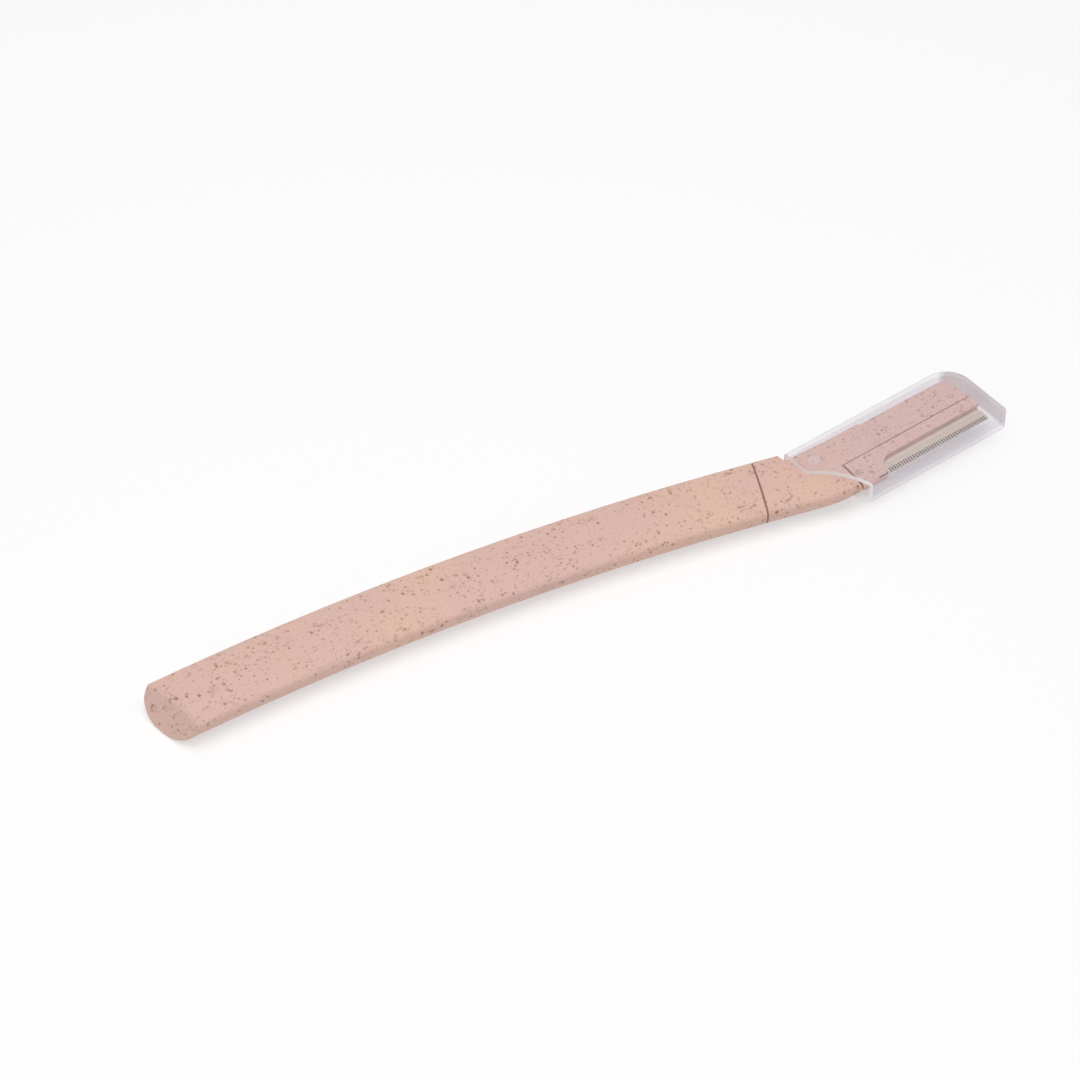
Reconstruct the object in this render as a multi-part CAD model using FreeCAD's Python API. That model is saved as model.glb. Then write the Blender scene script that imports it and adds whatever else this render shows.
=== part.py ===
import FreeCAD, Part
import math
import os
from FreeCAD import Placement, Rotation, Vector

# Driving dimensions in millimetres and degrees.
# X runs along the head to its tip, +Y points to the spine and Z up from the resting surface.
# X = 0 is where the neck's bend ends, and Y = 0 is the middle of the head.

# Bar section shared by the handle, the neck and the head
bar_width = 12.0
bar_thick = 5.5
crown_radius = 30.0
shoulder_radius = 0.9
belly_land = 1.2
belly_turn = 45
round_steps = 3

# Handle, bowed towards the spine
handle_length = 102.8
bow_radius = 460.0
butt_yaw = 10.0
butt_tilt = 27
butt_edge = 0.35
gate_diameter = 1.4
gate_depth = 0.25
gate_across_share = 0.25
gate_down_share = 0.08

# Seam and spigot between handle and head
seam_yaw = 10.5
seam_chamfer = 0.14
spigot_length = 9.0
spigot_width = 6.0
spigot_thick = 2.6
spigot_lead = 0.5

# Neck and head
neck_length = 10.5
neck_turn = 16.1
neck_radius = 24.0
head_length = 23.4
head_thick = 1.8
tip_radius = 2.2
ramp_run = 7.0
ramp_near_run = 2.0
ramp_bow = 0.3
spine_trim = 0.25
spine_step_x = 4.75
spine_step = 0.6

# Blade carrier, let into the near half of the head
carrier_corner_x = -3.6
carrier_line_y = -0.65
carrier_gap = 0.18
carrier_end_gap = 0.4
tongue_depth = 1.2
tongue_thick = 0.7
lip_depth = 2.35
scoop_x = 1.6
scoop_radius = 3.0
peg_diameter = 0.7
peg_count = 3
peg_depth = 1.2

# Blade and its folded guard
blade_thick = 0.3
blade_width = 4.6
blade_start_x = -0.05
blade_tip_gap = 0.3
blade_edge_y = -5.65
bevel_width = 0.9
edge_thick = 0.03
guard_sheet = 0.1
guard_width = 1.85
guard_overhang = 0.25
guard_end_gap = 0.1
tooth_pitch = 0.5
tooth_gap = 0.22
tooth_depth = 0.7

# Cap
cap_length = 35.3
cap_wall = 0.8
cap_side_wall = 0.55
cap_roof_room = 0.12
cap_floor_room = 0.7
cap_far_room = 0.15
cap_near_room = 1.15
cap_tip_room = 1.8
cap_far_radius = 4.6
cap_near_radius = 1.0
cap_edge = 0.6
mouth_corner_y = 0.95
mouth_corner_radius = 1.2
mouth_near_run = 6.5
mouth_bow = 1.1
mouth_gap = 0.4
pip_diameter = 1.9
pip_height = 0.15
pip_edge = 0.09
pip_back = 2.65
pip_y = 2.2

# Clearances
spigot_fit = 0.06
tongue_fit = 0.05
blade_fit = 0.02
peg_fit = 0.05
flush = 0.001
overrun = 1.0

up = Vector(0, 0, 1)
across = Vector(0, 1, 0)
half_width = bar_width / 2
spine_y = half_width - spine_trim
head_under = bar_thick - head_thick
head_middle = head_under + head_thick / 2
tip_x = head_length
blade_tip_x = tip_x - blade_tip_gap
blade_back_y = blade_edge_y + blade_width
lip_y = carrier_line_y - lip_depth
reach = handle_length + bar_width

cap_tip_x = tip_x + cap_tip_room + cap_side_wall
tongue_x = cap_tip_x - cap_length
cap_roof = bar_thick + cap_roof_room + cap_wall
cap_floor = head_under - cap_floor_room - cap_wall
cap_far_y = spine_y + cap_far_room + cap_side_wall
cap_near_y = -half_width - cap_near_room - cap_side_wall
seat_x = tongue_x - mouth_gap


def forward(turn):
    # Unit vector towards the head, turned from X towards the near side
    return Vector(math.cos(math.radians(turn)), -math.sin(math.radians(turn)), 0)


def sideways(turn):
    return Vector(math.sin(math.radians(turn)), math.cos(math.radians(turn)), 0)


# The bar's path: bow, straight neck, bend and straight head, with the seam between bow and neck
bend_centre = across * neck_radius
bend_start = bend_centre - neck_radius * sideways(neck_turn)
seam_middle = bend_start - neck_length * forward(neck_turn)
bow_centre = seam_middle - bow_radius * sideways(neck_turn)


def line(start, end):
    return Part.LineSegment(start, end).toShape()


def arc(start, middle, end):
    return Part.Arc(start, middle, end).toShape()


def box(low, high):
    size = high - low
    return Part.makeBox(size.x, size.y, size.z, low)


def round_run(centre, radius, side, start, end):
    # An arc as equal short stretches end to end. Turns count from level outwards, down towards the belly.
    def at(turn):
        return centre + radius * Vector(0, side * math.cos(turn), -math.sin(turn))

    step = (end - start) / round_steps
    turns = [start + index * step for index in range(round_steps)]
    return [arc(at(turn), at(turn + step / 2), at(turn + step)) for turn in turns]


def bar_section():
    # Crowned top, round shoulders, round belly and a flat land to rest on, each curve tangent to the next
    crown_z = bar_thick - crown_radius
    shoulder_y = half_width - shoulder_radius
    widest_z = crown_z + math.sqrt((crown_radius - shoulder_radius) ** 2 - shoulder_y ** 2)
    crown_turn = math.atan2(shoulder_y, widest_z - crown_z) - math.pi / 2
    land_y = belly_land / 2
    # The belly's upper and lower radius, which carry the upright side down into the land
    run = half_width - land_y
    turned = math.radians(belly_turn)
    c, s = math.cos(turned), math.sin(turned)
    scale = (1 - c) * (1 - s) - c * s
    upper = (run * (1 - s) - widest_z * c) / scale
    lower = (widest_z * (1 - c) - run * s) / scale
    edges = [line(Vector(0, land_y, 0), Vector(0, -land_y, 0))]
    crown_ends = []
    for side in (1, -1):
        shoulder = Vector(0, side * shoulder_y, widest_z)
        shoulder_arcs = round_run(shoulder, shoulder_radius, side, crown_turn, 0)
        crown_ends.append(shoulder_arcs[0].firstVertex().Point)
        edges += shoulder_arcs
        edges += round_run(Vector(0, side * (half_width - upper), widest_z), upper, side, 0, turned)
        edges += round_run(Vector(0, side * land_y, lower), lower, side, turned, math.pi / 2)
    edges.append(arc(crown_ends[0], up * bar_thick, crown_ends[1]))
    return Part.Face(Part.Wire(Part.__sortEdges__(edges)))


def heading(back):
    # Turn of the bow towards the near side, at a length back from the seam
    return neck_turn - math.degrees(back / bow_radius)


def station(back):
    return bow_centre + bow_radius * sideways(heading(back))


def bowed_bar(front, rear):
    face = bar_section()
    face.Placement = Placement(station(front), Rotation(up, -heading(front)))
    return face.revolve(bow_centre, up, math.degrees((rear - front) / bow_radius))


def cross_plane(back, yaw, tilt):
    # A plane across the bow through the bar's middle, its X axis pointing to the head
    turn = Rotation(up, yaw - heading(back)).multiply(Rotation(across, tilt))
    return Placement(station(back) + up * (bar_thick / 2), turn)


def behind(plane):
    block = Part.makeBox(reach, reach, reach, Vector(-reach, -reach / 2, -reach / 2))
    block.Placement = plane
    return block


def rim(solid, plane):
    # Edges of the solid that lie in the plane
    flat = []
    for edge in solid.Edges:
        middle = edge.valueAt((edge.FirstParameter + edge.LastParameter) / 2)
        points = [vertex.Point for vertex in edge.Vertexes] + [middle]
        if all(abs(plane.inverse().multVec(point).x) < flush for point in points):
            flat.append(edge)
    return flat


seam = cross_plane(0, -seam_yaw, 0)
butt = cross_plane(handle_length, butt_yaw, butt_tilt)
seam_lap = half_width * math.tan(math.radians(seam_yaw)) + overrun
butt_yaw_lap = half_width * math.tan(math.radians(butt_yaw))
butt_tilt_lap = bar_thick * math.tan(math.radians(butt_tilt))
butt_lap = butt_yaw_lap + butt_tilt_lap + overrun


def spigot_block(room, front):
    # Block on the bow's line, reaching back from the seam by the spigot's length
    half_y = spigot_width / 2 + room
    half_z = spigot_thick / 2 + room
    return box(Vector(-spigot_length - room, -half_y, -half_z), Vector(front, half_y, half_z))


def make_spigot():
    block = spigot_block(0, seam_lap)
    lead = [edge for edge in block.Edges if all(vertex.X < 0 for vertex in edge.Vertexes)]
    block = block.makeChamfer(spigot_lead, lead)
    block.Placement = cross_plane(0, 0, 0)
    return block.common(behind(seam))


def make_handle():
    bar = bowed_bar(-seam_lap, handle_length + butt_lap)
    bar = bar.common(behind(seam)).cut(behind(butt))
    bar = bar.makeChamfer(butt_edge, rim(bar, butt))
    bar = bar.makeChamfer(seam_chamfer, rim(bar, seam))
    socket = spigot_block(spigot_fit, seam_lap)
    socket.Placement = cross_plane(0, 0, 0)
    bar = bar.cut(socket)
    along = Vector(1, 0, 0)
    gate = Part.makeCylinder(gate_diameter / 2, gate_depth + overrun, -overrun * along, along)
    place = Vector(0, gate_across_share * bar_width, -gate_down_share * bar_thick)
    gate.Placement = butt.multiply(Placement(place, Rotation()))
    return bar.cut(gate)


def mouth_wire(shift, near_run, bow, z, run):
    # The mouth seen from above: straight across the spine side, then a bowed slant to the near side.
    # The outline closes along a line far ahead of the mouth, or far behind it.
    corner = Vector(tongue_x + shift, mouth_corner_y, z)
    near = Vector(tongue_x + shift + near_run, cap_near_y, z)
    slant = near - corner
    middle = (corner + near) / 2 + Vector(-slant.y, slant.x, 0).normalize() * bow
    far = corner + across * reach
    out = near - across * reach
    far_end = Vector(run, far.y, z)
    out_end = Vector(run, out.y, z)
    return Part.Wire([
        line(far, corner),
        arc(corner, middle, near),
        line(near, out),
        line(out, out_end),
        line(out_end, far_end),
        line(far_end, far),
    ])


def head_outline():
    # Plan of the neck and head: a seat for the cap's wall, a step in the spine and a round tip corner
    step_y = spine_y - spine_step
    far = half_width + reach
    rear = -reach
    points = [
        Vector(tip_x, step_y - tip_radius, 0),
        Vector(tip_x, -far, 0),
        Vector(rear, -far, 0),
        Vector(rear, far, 0),
        Vector(seat_x, far, 0),
        Vector(seat_x, spine_y, 0),
        Vector(spine_step_x, spine_y, 0),
        Vector(spine_step_x + spine_step, step_y, 0),
        Vector(tip_x - tip_radius, step_y, 0),
    ]
    edges = [line(start, end) for start, end in zip(points, points[1:])]
    middle = Vector(tip_x - tip_radius, step_y - tip_radius, 0) + Vector(1, 1, 0).normalize() * tip_radius
    edges.append(arc(points[-1], middle, points[0]))
    return Part.Face(Part.Wire(edges)).extrude(up * (bar_thick + overrun))


def make_head_envelope():
    neck_face = bar_section()
    neck_face.Placement = Placement(bend_start, Rotation(up, -neck_turn))
    neck = neck_face.extrude(-(neck_length + seam_lap) * forward(neck_turn)).cut(behind(seam))
    neck = neck.makeChamfer(seam_chamfer, rim(neck, seam))
    bend = bar_section().revolve(bend_centre, up, -neck_turn)
    straight = bar_section().extrude(Vector(head_length + overrun, 0, 0))
    bar = neck.fuse([bend, straight]).removeSplitter()
    ahead = tip_x + reach
    low = mouth_wire(-mouth_gap - ramp_run, ramp_near_run, ramp_bow, 0, ahead)
    high = mouth_wire(-mouth_gap, mouth_near_run, mouth_bow, head_under, ahead)
    return bar.cut(Part.makeLoft([low, high], True, True)).common(head_outline())


def carrier_zone(gap, end_gap):
    low = Vector(carrier_corner_x + end_gap, -reach, 0)
    high = Vector(tip_x + overrun, carrier_line_y - gap, bar_thick + overrun)
    return box(low, high)


def tongue_block(room, start_x, end_x, root):
    half_z = tongue_thick / 2 + room
    low = Vector(start_x, carrier_line_y - root, head_middle - half_z)
    high = Vector(end_x, carrier_line_y + tongue_depth + room, head_middle + half_z)
    return box(low, high)


def make_head(envelope):
    groove = tongue_block(tongue_fit, carrier_corner_x, tip_x + overrun, overrun)
    spine = envelope.cut(carrier_zone(0, 0)).cut(groove)
    return spine.fuse(make_spigot()).removeSplitter()


def peg_places():
    span = blade_tip_x - scoop_x - scoop_radius
    return [scoop_x + scoop_radius + span * (2 * index + 1) / (2 * peg_count) for index in range(peg_count)]


def pegs(diameter, low, high):
    y = carrier_line_y - peg_depth
    return [Part.makeCylinder(diameter / 2, high - low, Vector(x, y, low)) for x in peg_places()]


def scoop_block(inset):
    # The space that the carrier leaves open over the blade, round at its rear end
    radius = scoop_radius - inset
    centre = Vector(scoop_x + scoop_radius, lip_y - scoop_radius, 0)
    start = centre - Vector(radius, 0, 0)
    top = centre + across * radius
    middle = centre + Vector(-1, 1, 0).normalize() * radius
    low_left = Vector(start.x, -reach, 0)
    low_right = Vector(tip_x + overrun, -reach, 0)
    high_right = Vector(tip_x + overrun, top.y, 0)
    outline = Part.Wire([
        line(low_left, start),
        arc(start, middle, top),
        line(top, high_right),
        line(high_right, low_right),
        line(low_right, low_left),
    ])
    return Part.Face(outline).extrude(up * (bar_thick + overrun))


def make_carrier(envelope):
    body = envelope.common(carrier_zone(carrier_gap, carrier_end_gap))
    body = body.cut(scoop_block(0))
    half_slot = blade_thick / 2 + blade_fit
    slot = box(
        Vector(blade_start_x - blade_fit, -reach, head_middle - half_slot),
        Vector(tip_x + overrun, blade_back_y + blade_fit, head_middle + half_slot),
    )
    body = body.cut(slot)
    tongue = tongue_block(0, carrier_corner_x + carrier_end_gap, tip_x, carrier_gap + carrier_gap)
    jaw = half_slot + blade_thick
    return body.fuse([tongue] + pegs(peg_diameter, head_middle - jaw, head_middle + jaw)).removeSplitter()


def make_blade():
    half = blade_thick / 2
    bevel_y = blade_edge_y + bevel_width
    outline = [
        Vector(blade_start_x, blade_back_y, head_middle + half),
        Vector(blade_start_x, bevel_y, head_middle + half),
        Vector(blade_start_x, blade_edge_y, head_middle + edge_thick / 2),
        Vector(blade_start_x, blade_edge_y, head_middle - edge_thick / 2),
        Vector(blade_start_x, bevel_y, head_middle - half),
        Vector(blade_start_x, blade_back_y, head_middle - half),
    ]
    profile = Part.Face(Part.makePolygon(outline + outline[:1]))
    strip = profile.extrude(Vector(blade_tip_x - blade_start_x, 0, 0))
    holes = pegs(peg_diameter + 2 * peg_fit, head_middle - blade_thick, head_middle + blade_thick)
    return strip.cut(holes)


def make_guard():
    # A thin strip folded over the cutting edge, slotted into teeth
    start_x = scoop_x + guard_end_gap
    inner = blade_thick / 2 + blade_fit
    outer = inner + guard_sheet
    fold_y = blade_edge_y - guard_overhang
    length = blade_tip_x - start_x
    strip = box(
        Vector(start_x, fold_y, head_middle - outer),
        Vector(blade_tip_x, fold_y + guard_width, head_middle + outer),
    )
    corners = [edge for edge in strip.Edges if all(abs(v.Y - fold_y) < flush for v in edge.Vertexes)]
    strip = strip.makeChamfer(outer / 2, [edge for edge in corners if abs(edge.Length - length) < flush])
    channel = box(
        Vector(start_x - overrun, blade_edge_y - blade_fit, head_middle - inner),
        Vector(blade_tip_x + overrun, fold_y + guard_width + overrun, head_middle + inner),
    )
    count = int(length / tooth_pitch) - 1
    first_x = start_x + (length - (count - 1) * tooth_pitch - tooth_gap) / 2
    gaps = []
    for index in range(count):
        x = first_x + index * tooth_pitch
        gaps.append(box(
            Vector(x, fold_y - overrun, head_middle - overrun),
            Vector(x + tooth_gap, fold_y + tooth_depth, head_middle + overrun),
        ))
    return strip.cut(channel).cut(gaps).common(scoop_block(guard_end_gap))


def upright_edge(solid, x, y):
    return [
        edge for edge in solid.Edges
        if all(abs(v.X - x) < flush and abs(v.Y - y) < flush for v in edge.Vertexes)
    ]


def cap_block(inset, low, high, rear):
    tip = cap_tip_x - inset
    near_y = cap_near_y + inset
    far_y = cap_far_y - inset
    block = box(Vector(rear, near_y, low), Vector(tip, far_y, high))
    block = block.makeFillet(cap_near_radius - inset, upright_edge(block, tip, near_y))
    return block.makeFillet(cap_far_radius - inset, upright_edge(block, tip, far_y))


def make_cap():
    rear = tongue_x - overrun
    outer = cap_block(0, cap_floor, cap_roof, rear)
    rounded = []
    for edge in outer.Edges:
        level = all(abs(v.Z - edge.Vertexes[0].Z) < flush for v in edge.Vertexes)
        if level and any(v.X > rear + flush for v in edge.Vertexes):
            rounded.append(edge)
    outer = outer.makeFillet(cap_edge, rounded)
    inner = cap_block(cap_side_wall, cap_floor + cap_wall, cap_roof - cap_wall, rear - overrun)
    mouth = Part.Face(mouth_wire(0, mouth_near_run, mouth_bow, cap_floor - overrun, rear - reach))
    mouth = mouth.extrude(up * (cap_roof - cap_floor + 2 * overrun))
    mouth = mouth.makeFillet(mouth_corner_radius, upright_edge(mouth, tongue_x, mouth_corner_y))
    shell = outer.cut(inner).cut(mouth)
    pip_base = Vector(tongue_x + pip_back, pip_y, cap_roof - cap_wall)
    pip = Part.makeCylinder(pip_diameter / 2, cap_wall + pip_height, pip_base)
    pip = pip.makeChamfer(pip_edge, [edge for edge in pip.Edges if edge.Vertexes[0].Z > cap_roof])
    return shell.fuse(pip).removeSplitter()


envelope = make_head_envelope()
nodes = {
    "handle": make_handle(),
    "head": make_head(envelope),
    "blade_carrier": make_carrier(envelope),
    "blade": make_blade(),
    "blade_guard": make_guard(),
    "cap": make_cap(),
}

# The finished part stands on its lowest point, centred under its own box
whole = Part.makeCompound(list(nodes.values())).optimalBoundingBox()
to_centre = Vector(-(whole.XMin + whole.XMax) / 2, -(whole.YMin + whole.YMax) / 2, -whole.ZMin)

os.makedirs("parts", exist_ok=True)
for name, shape in nodes.items():
    shape.translate(to_centre)
    shape.exportStep("parts/" + name + ".step")
    print(name, shape.isValid(), len(shape.Solids), round(shape.Volume, 2), shape.optimalBoundingBox())
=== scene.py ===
import math

import bpy
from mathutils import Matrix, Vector


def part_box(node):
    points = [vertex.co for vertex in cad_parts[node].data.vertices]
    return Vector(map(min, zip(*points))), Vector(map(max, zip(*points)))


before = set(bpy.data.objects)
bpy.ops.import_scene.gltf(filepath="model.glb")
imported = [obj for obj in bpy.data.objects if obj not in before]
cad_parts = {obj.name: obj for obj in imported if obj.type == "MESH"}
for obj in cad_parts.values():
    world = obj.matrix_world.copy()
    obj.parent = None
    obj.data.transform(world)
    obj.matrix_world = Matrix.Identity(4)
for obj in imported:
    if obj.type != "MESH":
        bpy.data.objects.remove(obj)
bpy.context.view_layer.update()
mm = 0.001
print("frame loaded:", ", ".join(sorted(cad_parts)))


def linearColour(code):
    shares = [int(code[i:i + 2], 16) / 255 for i in (1, 3, 5)]
    linear = [s / 12.92 if s <= 0.04045 else ((s + 0.055) / 1.055) ** 2.4 for s in shares]
    return (*linear, 1.0)


def addNode(tree, kind, inputs=None, **settings):
    node = tree.nodes.new(kind)
    for name, value in settings.items():
        setattr(node, name, value)
    for name, value in (inputs or {}).items():
        if isinstance(value, bpy.types.NodeSocket):
            tree.links.new(value, node.inputs[name])
        else:
            node.inputs[name].default_value = value
    return node


def emptyMaterial(name):
    material = bpy.data.materials.new(name)
    material.use_nodes = True
    material.node_tree.nodes.clear()
    return material, material.node_tree


def dress(nodeName, material):
    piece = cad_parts[nodeName]
    piece.data.materials.clear()
    piece.data.materials.append(material)


# Straw-filled polypropylene, injection moulded: a soft pink body colour, chaff flecks that lie in
# the skin at every angle, faint ones further down, and a dull sheen from the spark-eroded mould
straw = {
    "pink": "#DBB6AA",
    "warm": "#DEB9A7",
    "cool": "#DAB6AC",
    "fleckPale": "#AC8660",
    "fleckDark": "#735036",
    "patchMm": 14.0,
    "clusterMm": 4.0,
    "fleckCellMm": 0.8,
    "smallCellMm": 0.6,
    "fineCellMm": 0.42,
    "fibreCellMm": 1.0,
    "darkCellMm": 1.6,
    "softCellMm": 1.9,
    "blotchCellMm": 3.6,
    "wobbleMm": 0.3,
    "raggedMm": 0.2,
    # dark brown for the ring seam: painted shade in the groove, together with grime
    "seamShadeAndGrime": "#835E50",
    "seamShadeAndGrimeShare": 0.75,
    "seamShadeAndGrimeMm": (0.26, 0.08),  # from the seam's plane, clean to full
    "seamTurn": -26.6,  # degrees from the head's line to the bar's, where they meet
    "grainMm": 0.22,
    "driftStops": (0.32, 0.5, 0.70),  # cool, pink, warm
    "gather": (0.06, 0.50),  # chance times cluster, from no fleck to a full one
    "sizeDrop": 0.1,
    "clusterSpan": (0.25, 0.75),  # of the cluster noise
    "crowding": (0.36, 0.62),  # what that span becomes
    "softEdge": (-0.08, 0.10),
    "dullness": (0.42, 0.62),
    "reliefShare": 0.5,
    "bumpStrength": 0.12,
    "bumpMm": 0.05,
    "ior": 1.49,
    "gloss": 0.4,
}


def strawPlastic():
    material, tree = emptyMaterial("straw_plastic")
    place = addNode(tree, "ShaderNodeTexCoord").outputs["Object"]
    # broad drifts of the body colour, warm to cool
    drift = addNode(tree, "ShaderNodeTexNoise", {
        "Vector": place, "Scale": 1 / (straw["patchMm"] * mm), "Detail": 2.0, "Roughness": 0.55})
    body = addNode(tree, "ShaderNodeValToRGB", {"Fac": drift.outputs["Fac"]})
    ramp = body.color_ramp
    coolStop, pinkStop, warmStop = straw["driftStops"]
    ramp.elements[0].position, ramp.elements[0].color = coolStop, linearColour(straw["cool"])
    ramp.elements[1].position, ramp.elements[1].color = warmStop, linearColour(straw["warm"])
    ramp.elements.new(pinkStop).color = linearColour(straw["pink"])
    # flecks gather in loose clusters
    cluster = addNode(tree, "ShaderNodeTexNoise", {
        "Vector": place, "Scale": 1 / (straw["clusterMm"] * mm), "Detail": 1.0})
    crowd = addNode(tree, "ShaderNodeMapRange", {
        "Value": cluster.outputs["Fac"], "From Min": straw["clusterSpan"][0],
        "From Max": straw["clusterSpan"][1], "To Min": straw["crowding"][0],
        "To Max": straw["crowding"][1]})
    # ragged outlines: the place is pushed about by a small noise
    wobble = addNode(tree, "ShaderNodeTexNoise", {
        "Vector": place, "Scale": 1 / (straw["wobbleMm"] * mm), "Detail": 2.0})
    push = addNode(tree, "ShaderNodeVectorMath", {
        0: wobble.outputs["Color"], 1: (0.5, 0.5, 0.5)}, operation="SUBTRACT")
    ragged = addNode(tree, "ShaderNodeVectorMath", {
        0: push.outputs["Vector"], 1: (straw["raggedMm"] * mm,) * 3, 2: place},
        operation="MULTIPLY_ADD")
    colour = body.outputs["Color"]
    layers = [
        # cell mm, stretch of the cell, turn, size range in cells, strength range
        (straw["blotchCellMm"], (1.0, 1.0, 1.0), (0.0, 0.0, 0.9), (0.0, 0.30), (0.03, 0.14)),
        (straw["softCellMm"], (1.0, 0.7, 1.0), (0.0, 0.3, 0.5), (0.02, 0.26), (0.06, 0.28)),
        (straw["fineCellMm"], (1.0, 1.0, 1.0), (0.0, 0.0, 0.0), (0.10, 0.42), (0.08, 0.42)),
        (straw["smallCellMm"], (0.9, 1.0, 1.0), (0.5, 0.2, 1.1), (0.08, 0.40), (0.12, 0.60)),
        (straw["fibreCellMm"], (0.42, 1.0, 1.0), (0.2, 0.4, 2.3), (0.0, 0.26), (0.15, 0.55)),
        (straw["fibreCellMm"], (0.45, 1.0, 1.0), (0.6, 0.1, 0.7), (0.0, 0.24), (0.15, 0.55)),
        (straw["fleckCellMm"], (1.0, 0.8, 1.0), (0.0, 0.0, 0.4), (0.04, 0.36), (0.20, 0.75)),
        (straw["darkCellMm"], (0.8, 1.0, 1.0), (0.0, 0.0, 1.3), (0.0, 0.20), (0.45, 0.9)),
    ]
    for cell, stretch, turn, sizes, strengths in layers:
        turned = addNode(tree, "ShaderNodeMapping", {
            "Vector": ragged.outputs["Vector"], "Rotation": turn, "Scale": stretch})
        spots = addNode(tree, "ShaderNodeTexVoronoi", {
            "Vector": turned.outputs["Vector"], "Scale": 1 / (cell * mm)}, feature="F1")
        chance = addNode(tree, "ShaderNodeSeparateColor", {"Color": spots.outputs["Color"]})
        gathered = addNode(tree, "ShaderNodeMath", {
            0: chance.outputs["Red"], 1: crowd.outputs["Result"]}, operation="MULTIPLY")
        size = addNode(tree, "ShaderNodeMapRange", {
            "Value": gathered.outputs["Value"], "From Min": straw["gather"][0],
            "From Max": straw["gather"][1], "To Min": sizes[0] - straw["sizeDrop"],
            "To Max": sizes[1]})
        inside = addNode(tree, "ShaderNodeMath", {
            0: size.outputs["Result"], 1: spots.outputs["Distance"]}, operation="SUBTRACT")
        mask = addNode(tree, "ShaderNodeMapRange", {
            "Value": inside.outputs["Value"], "From Min": straw["softEdge"][0],
            "From Max": straw["softEdge"][1]},
            interpolation_type="SMOOTHSTEP")
        strength = addNode(tree, "ShaderNodeMapRange", {
            "Value": chance.outputs["Green"], "To Min": strengths[0], "To Max": strengths[1]})
        shown = addNode(tree, "ShaderNodeMath", {
            0: mask.outputs["Result"], 1: strength.outputs["Result"]}, operation="MULTIPLY")
        chaff = addNode(tree, "ShaderNodeMix", {
            "Factor": chance.outputs["Blue"], "A": linearColour(straw["fleckPale"]),
            "B": linearColour(straw["fleckDark"])}, data_type="RGBA")
        mixed = addNode(tree, "ShaderNodeMix", {
            "Factor": shown.outputs["Value"], "A": colour,
            "B": chaff.outputs["Result"]}, data_type="RGBA")
        colour = mixed.outputs["Result"]
    # painted shade and grime in the ring seam, which is the handle's end towards the head: the
    # colour turns dark brown close to the seam's plane
    seamTurn = math.radians(straw["seamTurn"])
    seamNormal = Vector((math.cos(seamTurn), math.sin(seamTurn), 0))
    seamAt = max(vertex.co.dot(seamNormal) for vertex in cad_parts["handle"].data.vertices)
    print(f"seam at {seamAt / mm:.3f} mm along the bar")
    along = addNode(tree, "ShaderNodeVectorMath", {
        0: place, 1: seamNormal}, operation="DOT_PRODUCT")
    past = addNode(tree, "ShaderNodeMath", {
        0: along.outputs["Value"], 1: seamAt}, operation="SUBTRACT")
    apart = addNode(tree, "ShaderNodeMath", {0: past.outputs["Value"]}, operation="ABSOLUTE")
    grimy = addNode(tree, "ShaderNodeMapRange", {
        "Value": apart.outputs["Value"], "From Min": straw["seamShadeAndGrimeMm"][0] * mm,
        "From Max": straw["seamShadeAndGrimeMm"][1] * mm, "To Max": straw["seamShadeAndGrimeShare"]})
    soiled = addNode(tree, "ShaderNodeMix", {
        "Factor": grimy.outputs["Result"], "A": colour,
        "B": linearColour(straw["seamShadeAndGrime"])}, data_type="RGBA")
    colour = soiled.outputs["Result"]
    grain = addNode(tree, "ShaderNodeTexNoise", {
        "Vector": place, "Scale": 1 / (straw["grainMm"] * mm), "Detail": 3.0, "Roughness": 0.6})
    dull = addNode(tree, "ShaderNodeMapRange", {
        "Value": grain.outputs["Fac"], "To Min": straw["dullness"][0],
        "To Max": straw["dullness"][1]})
    # the last layer, the dark flecks, stands a little proud of the grain
    relief = addNode(tree, "ShaderNodeMath", {
        0: shown.outputs["Value"], 1: straw["reliefShare"], 2: grain.outputs["Fac"]},
        operation="MULTIPLY_ADD")
    bump = addNode(tree, "ShaderNodeBump", {
        "Height": relief.outputs["Value"], "Strength": straw["bumpStrength"],
        "Distance": straw["bumpMm"] * mm})
    plastic = addNode(tree, "ShaderNodeBsdfPrincipled", {
        "Base Color": colour, "Roughness": dull.outputs["Result"], "Normal": bump.outputs["Normal"],
        "IOR": straw["ior"], "Specular IOR Level": straw["gloss"]})
    addNode(tree, "ShaderNodeOutputMaterial", {"Surface": plastic.outputs["BSDF"]})
    return material


moulded = strawPlastic()
for name in ("handle", "head", "blade_carrier"):
    dress(name, moulded)
print("straw plastic on handle, head and blade carrier")

# Stainless strip, ground and stropped: fine scratches along the edge, a dull grey shine
steel = {
    "bright": "#E6D9CB",
    "dull": "#CCC0B2",
    "bevel": "#5A5249",
    "bevelShare": 0.2,  # of the strip's width
    "scratchMm": 0.06,  # real scratches are finer, drawn this coarse so that they show
    "scratchLengthMm": 2.4,
    "roughness": (0.28, 0.45),
    "bumpStrength": 0.1,
    "bumpMm": 0.01,
}
guardSteel = {
    "bright": "#E2D5C8",
    "dull": "#ACA195",
    "grainMm": 0.12,
    "roughness": (0.4, 0.55),
}


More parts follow.
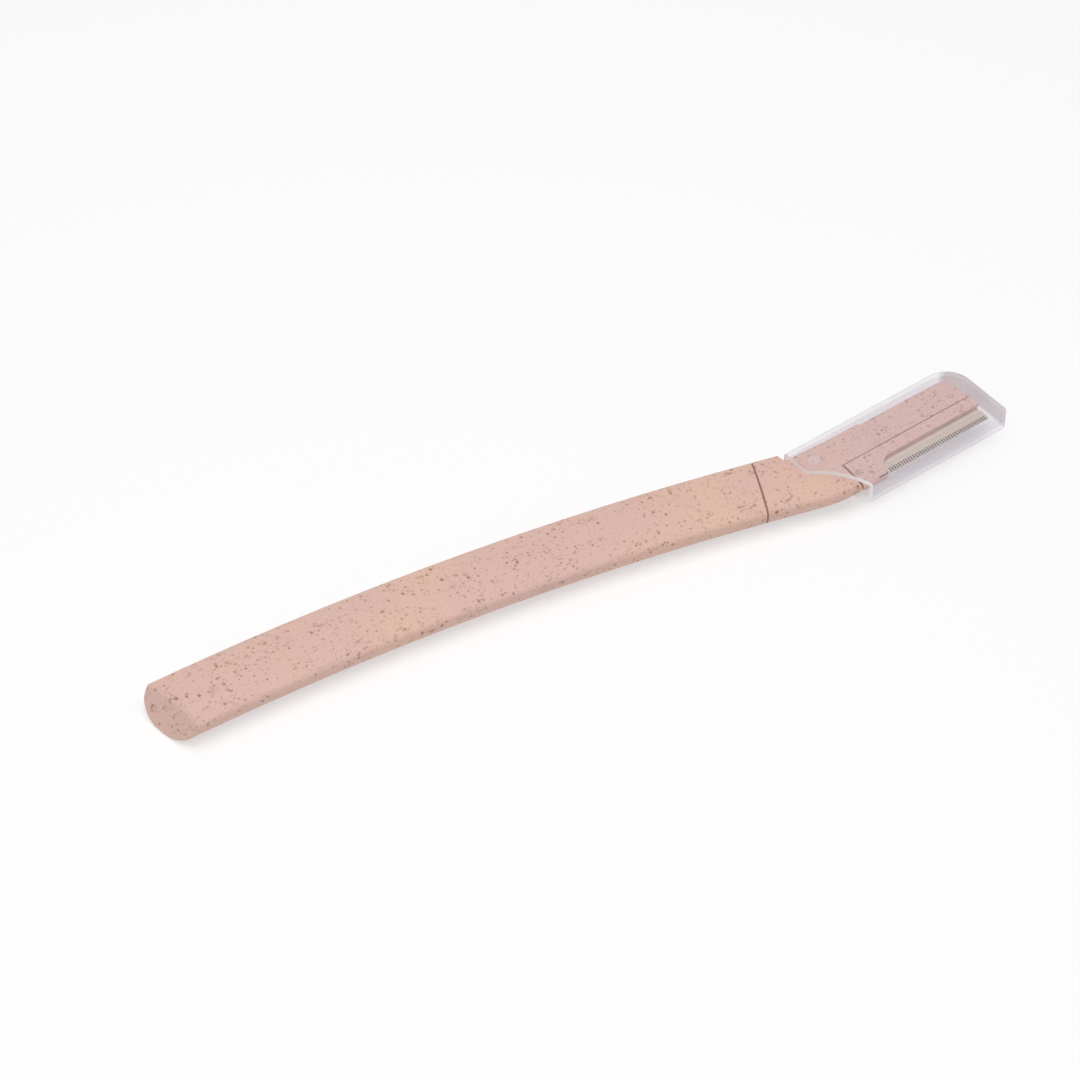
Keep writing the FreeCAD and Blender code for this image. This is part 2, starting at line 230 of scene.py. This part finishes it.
def groundSteel():
    material, tree = emptyMaterial("ground_steel")
    coords = addNode(tree, "ShaderNodeTexCoord")
    perMetre = (1 / (steel["scratchLengthMm"] * mm), 1 / (steel["scratchMm"] * mm), 1.0)
    along = addNode(tree, "ShaderNodeMapping", {
        "Vector": coords.outputs["Object"], "Scale": perMetre})
    scratch = addNode(tree, "ShaderNodeTexNoise", {
        "Vector": along.outputs["Vector"], "Scale": 1.0, "Detail": 3.0})
    tone = addNode(tree, "ShaderNodeMix", {
        "Factor": scratch.outputs["Fac"], "A": linearColour(steel["dull"]),
        "B": linearColour(steel["bright"])}, data_type="RGBA")
    # the honed bevel turns away from the light, and shows dark between the guard's teeth
    strip = addNode(tree, "ShaderNodeSeparateXYZ", {"Vector": coords.outputs["Generated"]})
    honed = addNode(tree, "ShaderNodeMath", {
        0: strip.outputs["Y"], 1: steel["bevelShare"]}, operation="LESS_THAN")
    tone = addNode(tree, "ShaderNodeMix", {
        "Factor": honed.outputs["Value"], "A": tone.outputs["Result"],
        "B": linearColour(steel["bevel"])}, data_type="RGBA")
    rough = addNode(tree, "ShaderNodeMapRange", {
        "Value": scratch.outputs["Fac"], "To Min": steel["roughness"][0],
        "To Max": steel["roughness"][1]})
    bump = addNode(tree, "ShaderNodeBump", {
        "Height": scratch.outputs["Fac"], "Strength": steel["bumpStrength"],
        "Distance": steel["bumpMm"] * mm})
    metal = addNode(tree, "ShaderNodeBsdfPrincipled", {
        "Base Color": tone.outputs["Result"], "Metallic": 1.0, "Roughness": rough.outputs["Result"],
        "Normal": bump.outputs["Normal"]})
    addNode(tree, "ShaderNodeOutputMaterial", {"Surface": metal.outputs["BSDF"]})
    return material


def etchedSteel():
    # photo-etched spring steel foil, darker and more matt than the ground strip,
    # with a mottled pickle
    material, tree = emptyMaterial("etched_steel")
    place = addNode(tree, "ShaderNodeTexCoord").outputs["Object"]
    pickle = addNode(tree, "ShaderNodeTexNoise", {
        "Vector": place, "Scale": 1 / (guardSteel["grainMm"] * mm), "Detail": 3.0})
    tone = addNode(tree, "ShaderNodeMix", {
        "Factor": pickle.outputs["Fac"], "A": linearColour(guardSteel["dull"]),
        "B": linearColour(guardSteel["bright"])}, data_type="RGBA")
    rough = addNode(tree, "ShaderNodeMapRange", {
        "Value": pickle.outputs["Fac"], "To Min": guardSteel["roughness"][0],
        "To Max": guardSteel["roughness"][1]})
    metal = addNode(tree, "ShaderNodeBsdfPrincipled", {
        "Base Color": tone.outputs["Result"], "Metallic": 1.0,
        "Roughness": rough.outputs["Result"]})
    addNode(tree, "ShaderNodeOutputMaterial", {"Surface": metal.outputs["BSDF"]})
    return material


dress("blade", groundSteel())
dress("blade_guard", etchedSteel())
print("steel on blade and guard")

# Clear polypropylene cap, moulded thin: lets nearly everything through, with a faint milky bloom
# and a lavender cast where the wall is seen edge on
clearCap = {
    "tint": "#FDFCFD",
    "milk": "#EFEAF0",
    "rim": "#C4BECC",
    "cutEdge": "#FBF8F9",
    "milkFacing": 0.06,
    "milkGrazing": 0.68,
    "cutEdgeShare": 0.9,
    "pipShare": 0.3,
    "pipMm": 0.12,  # of the pip's height, down from the cap's highest level
    "litShare": 0.15,
    "rippleMm": 3.5,
    "roughness": (0.05, 0.12),
    "slantPower": 2.5,
    "mouthNormal": (-0.35, -0.6),  # along the head, from wall to cut edge
    "ior": 1.49,
}


def clearPlastic():
    material, tree = emptyMaterial("clear_plastic")
    coords = addNode(tree, "ShaderNodeTexCoord")
    ripple = addNode(tree, "ShaderNodeTexNoise", {
        "Vector": coords.outputs["Object"], "Scale": 1 / (clearCap["rippleMm"] * mm),
        "Detail": 1.0})
    rough = addNode(tree, "ShaderNodeMapRange", {
        "Value": ripple.outputs["Fac"], "To Min": clearCap["roughness"][0],
        "To Max": clearCap["roughness"][1]})
    # the wall is longest, and so milkiest, where it is seen edge on
    slant = addNode(tree, "ShaderNodeLayerWeight", {"Blend": 0.5})
    steep = addNode(tree, "ShaderNodeMath", {
        0: slant.outputs["Facing"], 1: clearCap["slantPower"]}, operation="POWER")
    milk = addNode(tree, "ShaderNodeMapRange", {
        "Value": steep.outputs["Value"], "To Min": clearCap["milkFacing"],
        "To Max": clearCap["milkGrazing"]})
    # the mouth's cut edge is frosted white
    outward = addNode(tree, "ShaderNodeSeparateXYZ", {"Vector": coords.outputs["Normal"]})
    mouth = addNode(tree, "ShaderNodeMapRange", {
        "Value": outward.outputs["X"], "From Min": clearCap["mouthNormal"][0],
        "From Max": clearCap["mouthNormal"][1]})
    share = addNode(tree, "ShaderNodeMix", {
        "Factor": mouth.outputs["Result"], "A": milk.outputs["Result"],
        "B": clearCap["cutEdgeShare"]})
    # the snap pip is a thicker lump of plastic, and the highest thing on the cap
    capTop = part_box("cap")[1][2]
    place = addNode(tree, "ShaderNodeSeparateXYZ", {"Vector": coords.outputs["Object"]})
    pip = addNode(tree, "ShaderNodeMath", {
        0: place.outputs["Z"], 1: capTop - clearCap["pipMm"] * mm}, operation="GREATER_THAN")
    share = addNode(tree, "ShaderNodeMix", {
        "Factor": pip.outputs["Value"], "A": share.outputs["Result"], "B": clearCap["pipShare"]})
    bloom = addNode(tree, "ShaderNodeMix", {
        "Factor": slant.outputs["Facing"], "A": linearColour(clearCap["milk"]),
        "B": linearColour(clearCap["rim"])}, data_type="RGBA")
    colour = addNode(tree, "ShaderNodeMix", {
        "Factor": mouth.outputs["Result"], "A": bloom.outputs["Result"],
        "B": linearColour(clearCap["cutEdge"])}, data_type="RGBA")
    plastic = addNode(tree, "ShaderNodeBsdfPrincipled", {
        "Base Color": colour.outputs["Result"], "Roughness": rough.outputs["Result"],
        "IOR": clearCap["ior"]})
    passing = addNode(tree, "ShaderNodeBsdfTransparent", {"Color": linearColour(clearCap["tint"])})
    # lamp light and light off the razor go through a thin wall almost whole
    path = addNode(tree, "ShaderNodeLightPath")
    lit = addNode(tree, "ShaderNodeMath", {
        0: path.outputs["Is Shadow Ray"], 1: path.outputs["Is Diffuse Ray"]}, operation="MAXIMUM")
    kept = addNode(tree, "ShaderNodeMapRange", {
        "Value": lit.outputs["Value"], "To Min": 1.0, "To Max": clearCap["litShare"]})
    dimmed = addNode(tree, "ShaderNodeMath", {
        0: share.outputs["Result"], 1: kept.outputs["Result"]}, operation="MULTIPLY")
    both = addNode(tree, "ShaderNodeMixShader", {
        0: dimmed.outputs["Value"], 1: passing.outputs["BSDF"], 2: plastic.outputs["BSDF"]})
    addNode(tree, "ShaderNodeOutputMaterial", {"Surface": both.outputs["Shader"]})
    return material


dress("cap", clearPlastic())
print("clear plastic on cap")

# Plain white table
table = {"sizeM": 3.0, "white": "#FFFFFF", "liftShare": 0.55}
half = table["sizeM"] / 2
floorMesh = bpy.data.meshes.new("floor")
corners = [(-half, -half, 0), (half, -half, 0), (half, half, 0), (-half, half, 0)]
floorMesh.from_pydata(corners, [], [(0, 1, 2, 3)])
floor = bpy.data.objects.new("floor", floorMesh)
bpy.context.collection.objects.link(floor)
paper, paperTree = emptyMaterial("matt_paper")
paperShade = addNode(paperTree, "ShaderNodeBsdfDiffuse", {"Color": linearColour(table["white"])})
# the eye sees the sweep a little lighter than it lies, as an overlit table photographs
lift = addNode(paperTree, "ShaderNodeEmission", {"Color": (1, 1, 1, 1), "Strength": 1.0})
eye = addNode(paperTree, "ShaderNodeLightPath")
inView = addNode(paperTree, "ShaderNodeMath", {
    0: eye.outputs["Is Camera Ray"], 1: eye.outputs["Is Glossy Ray"]}, operation="MAXIMUM")
inView = addNode(paperTree, "ShaderNodeMath", {
    0: inView.outputs["Value"], 1: eye.outputs["Is Transmission Ray"]}, operation="MAXIMUM")
liftAmount = addNode(paperTree, "ShaderNodeMath", {
    0: inView.outputs["Value"], 1: table["liftShare"]}, operation="MULTIPLY")
paperBoth = addNode(paperTree, "ShaderNodeMixShader", {
    0: liftAmount.outputs["Value"], 1: paperShade.outputs["BSDF"], 2: lift.outputs["Emission"]})
addNode(paperTree, "ShaderNodeOutputMaterial", {"Surface": paperBoth.outputs["Shader"]})
floorMesh.materials.append(paper)
print("floor laid")

# Soft studio light: an even tent and a broad lamp overhead
light = {
    "tent": 0.42,
    "tentSeen": 1.0,
    "lampW": 2.5,
    "lampSizeM": 0.6,
    "lampAt": (-0.07, -0.05, 0.60),
}
world = bpy.data.worlds.new("tent")
bpy.context.scene.world = world
world.use_nodes = True
worldTree = world.node_tree
worldTree.nodes.clear()
# the eye, gloss and clear plastic see a white tent, and its light on dull surfaces stays plain
rays = addNode(worldTree, "ShaderNodeLightPath")
seen = addNode(worldTree, "ShaderNodeMath", {
    0: rays.outputs["Is Camera Ray"], 1: rays.outputs["Is Glossy Ray"]}, operation="MAXIMUM")
seen = addNode(worldTree, "ShaderNodeMath", {
    0: seen.outputs["Value"], 1: rays.outputs["Is Transmission Ray"]}, operation="MAXIMUM")
strength = addNode(worldTree, "ShaderNodeMapRange", {
    "Value": seen.outputs["Value"], "To Min": light["tent"], "To Max": light["tentSeen"]})
tent = addNode(worldTree, "ShaderNodeBackground", {
    "Color": (1, 1, 1, 1), "Strength": strength.outputs["Result"]})
addNode(worldTree, "ShaderNodeOutputWorld", {"Surface": tent.outputs["Background"]})
lampData = bpy.data.lights.new("lamp", "AREA")
lampData.shape = "DISK"
lampData.size = light["lampSizeM"]
lampData.energy = light["lampW"]
lamp = bpy.data.objects.new("lamp", lampData)
lamp.location = light["lampAt"]
lamp.rotation_euler = (-Vector(light["lampAt"])).to_track_quat("-Z", "Y").to_euler()
bpy.context.collection.objects.link(lamp)
print("light set")

# Camera at the photograph's angle: a long lens, looking down across the near side
view = {
    "azimuth": -37.4,
    "elevation": 44.5,
    "distance": 0.640,
    "lens": 135.0,
    "sensorMm": 36.0,
    "nearM": 0.01,
    "aim": (-0.00182, 0.00976, 0.0),
}
azimuth, elevation = math.radians(view["azimuth"]), math.radians(view["elevation"])
outward = Vector((
    math.sin(azimuth) * math.cos(elevation),
    -math.cos(azimuth) * math.cos(elevation),
    math.sin(elevation),
))
cameraData = bpy.data.cameras.new("camera")
cameraData.sensor_width = view["sensorMm"]
cameraData.lens = view["lens"]
cameraData.clip_start = view["nearM"]
camera = bpy.data.objects.new("camera", cameraData)
camera.location = Vector(view["aim"]) + view["distance"] * outward
camera.rotation_euler = (-outward).to_track_quat("-Z", "Y").to_euler()
bpy.context.collection.objects.link(camera)
bpy.context.scene.camera = camera
bpy.context.scene.view_settings.view_transform = "Standard"
print("camera set")
